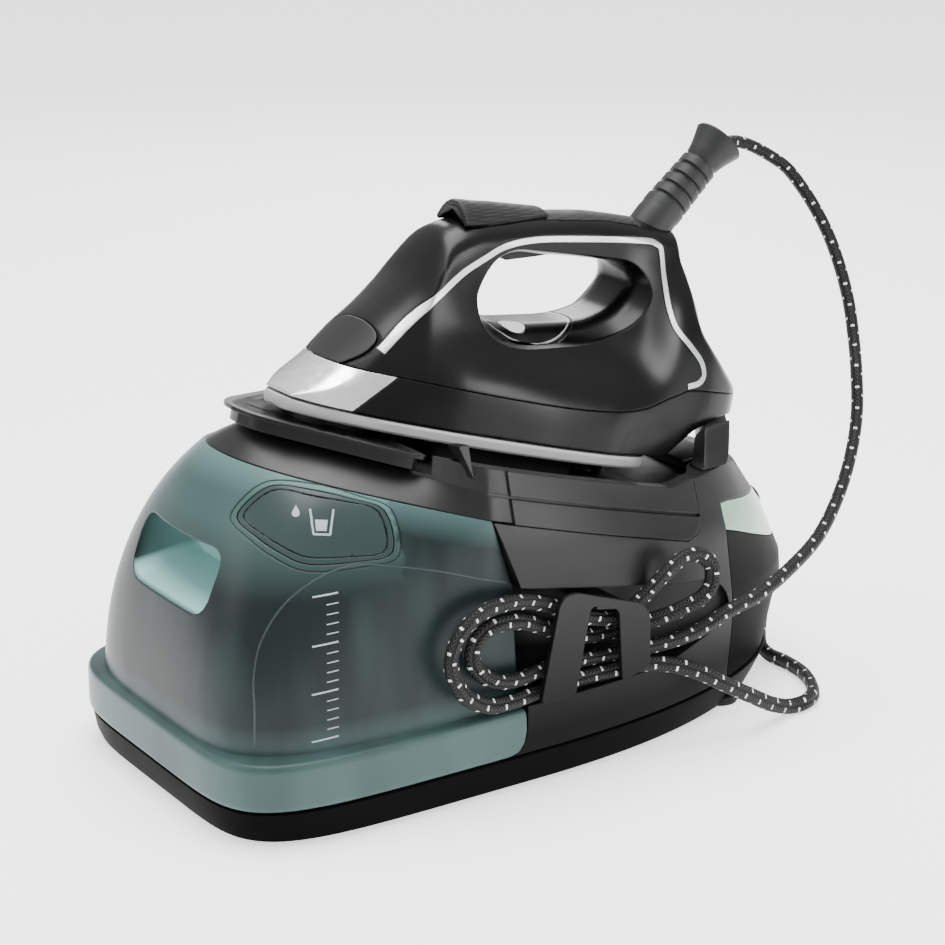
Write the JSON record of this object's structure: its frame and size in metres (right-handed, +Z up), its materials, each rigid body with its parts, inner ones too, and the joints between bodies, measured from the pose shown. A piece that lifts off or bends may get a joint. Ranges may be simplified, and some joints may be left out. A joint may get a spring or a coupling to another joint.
{
  "type": "steam generator iron",
  "caption": "Steam iron standing on a base with a pull-out water tank, a boiler, a lock hoop and a textile-covered steam hose held behind a side clip",
  "frame": {"origin": "centre of the footprint on the standing surface, the hose left out", "axes": "+Z up, -Y towards the water tank and the tip of the iron, +Y towards the rear buttons, +X towards the hose clip"},
  "size_m": [0.2286, 0.4277, 0.3147],
  "materials": {
    "black_plastic": "satin black",
    "housing_plastic": "satin anthracite",
    "button_plastic": "satin black, finely textured",
    "strap_plastic": "moulded",
    "tank_plastic": "frosted translucent teal",
    "flap_plastic": "brighter teal with a raised border",
    "lens_plastic": "pale mint, glossy",
    "white_plastic": "plain",
    "rubber": "matte black",
    "chrome": "mirror polished",
    "silver_trim": "satin silver",
    "sole_metal": "glazed, fine brushed",
    "cast_aluminium": "as cast",
    "steel": "brushed",
    "brass": "machined",
    "board": "green laminate",
    "hose_fabric": "black braid with pale flecks"
  },
  "bodies": {
    "base": {"base_tray": "black_plastic", "rubber_foot_1": "rubber", "rubber_foot_2": "rubber", "rubber_foot_3": "rubber", "rubber_foot_4": "rubber", "base_screw_1": "steel", "base_screw_2": "steel", "base_screw_3": "steel", "base_screw_4": "steel", "main_housing": "housing_plastic", "rear_cover": "housing_plastic", "lens_strip": "lens_plastic", "iron_rest": "housing_plastic", "rest_lip": "black_plastic", "rest_pad_left": "rubber", "rest_pad_right": "rubber", "heel_pad": "rubber", "hose_clip": "housing_plastic", "boiler": "steel", "boiler_heater": "cast_aluminium", "boiler_strap_front": "strap_plastic", "boiler_strap_rear": "strap_plastic", "pump": "black_plastic", "control_board": "board", "steam_valve": "brass", "steam_pipe": "brass", "tank_dock": "black_plastic", "scale_collector": "steel", "hose_gland": "rubber", "steam_hose": "hose_fabric"},
    "water_tank": {"tank_shell": "tank_plastic"},
    "tank_flap": {"tank_flap": "flap_plastic"},
    "tank_valve": {"tank_valve": "white_plastic"},
    "iron": {"iron_skirt": "housing_plastic", "chrome_nose": "chrome", "iron_body": "black_plastic", "nose_cap": "housing_plastic", "trim_left": "silver_trim", "trim_right": "silver_trim", "grip_pad": "rubber", "hose_boot": "rubber", "heel_screw": "steel", "soleplate": "sole_metal", "sole_heater": "cast_aluminium", "thermal_cutout": "steel", "steam_tube": "white_plastic"},
    "steam_trigger": {"steam_trigger": "button_plastic"},
    "top_button": {"top_button": "button_plastic"},
    "mode_button": {"mode_button": "button_plastic", "mode_icon": "white_plastic"},
    "lock_hoop": {"lock_hoop": "housing_plastic"},
    "power_button": {"power_button": "button_plastic"},
    "eco_button": {"eco_button": "button_plastic"},
    "scale_cap": {"scale_cap": "black_plastic"}
  },
  "joints": [
    {"name": "water_tank_slide", "type": "slide", "parent": "base", "child": "water_tank", "axis": [0, -1, 0], "range_m": [0, 0.22]},
    {"name": "tank_flap_hinge", "type": "hinge", "parent": "water_tank", "child": "tank_flap", "pos_m": [0.0867, -0.1057, 0.1522], "axis": [-0.6308, 0.162, 0.7588], "range_deg": [0, 80]},
    {"name": "tank_valve_slide", "type": "slide", "parent": "water_tank", "child": "tank_valve", "axis": [0, -1, 0], "range_m": [0, 0.003], "stiffness_N_per_m": 400},
    {"name": "iron_lift", "type": "slide", "parent": "base", "child": "iron", "axis": [0, -0.8192, 0.5736], "range_m": [0, 0.16]},
    {"name": "steam_trigger_hinge", "type": "hinge", "parent": "iron", "child": "steam_trigger", "pos_m": [0, 0.0464, 0.2594], "axis": [-1, 0, 0], "range_deg": [0, 6], "stiffness_Nm_per_rad": 0.5},
    {"name": "top_button_hinge", "type": "hinge", "parent": "iron", "child": "top_button", "pos_m": [0, 0.038, 0.2806], "axis": [1, 0, 0], "range_deg": [0, 3], "stiffness_Nm_per_rad": 1},
    {"name": "mode_button_slide", "type": "slide", "parent": "iron", "child": "mode_button", "axis": [0, -0.2756, -0.9613], "range_m": [0, 0.0008], "stiffness_N_per_m": 900},
    {"name": "lock_hoop_slide", "type": "slide", "parent": "base", "child": "lock_hoop", "axis": [0, 1, 0], "range_m": [0, 0.008]},
    {"name": "power_button_slide", "type": "slide", "parent": "base", "child": "power_button", "axis": [0, -0.8821, -0.4711], "range_m": [0, 0.0012], "stiffness_N_per_m": 500},
    {"name": "eco_button_slide", "type": "slide", "parent": "base", "child": "eco_button", "axis": [0, -0.8821, -0.4711], "range_m": [0, 0.0012], "stiffness_N_per_m": 500},
    {"name": "scale_cap_turn", "type": "hinge", "parent": "base", "child": "scale_cap", "pos_m": [-0.1, 0.06, 0.06], "axis": [-1, 0, 0], "range_deg": [0, 90]}
  ]
}
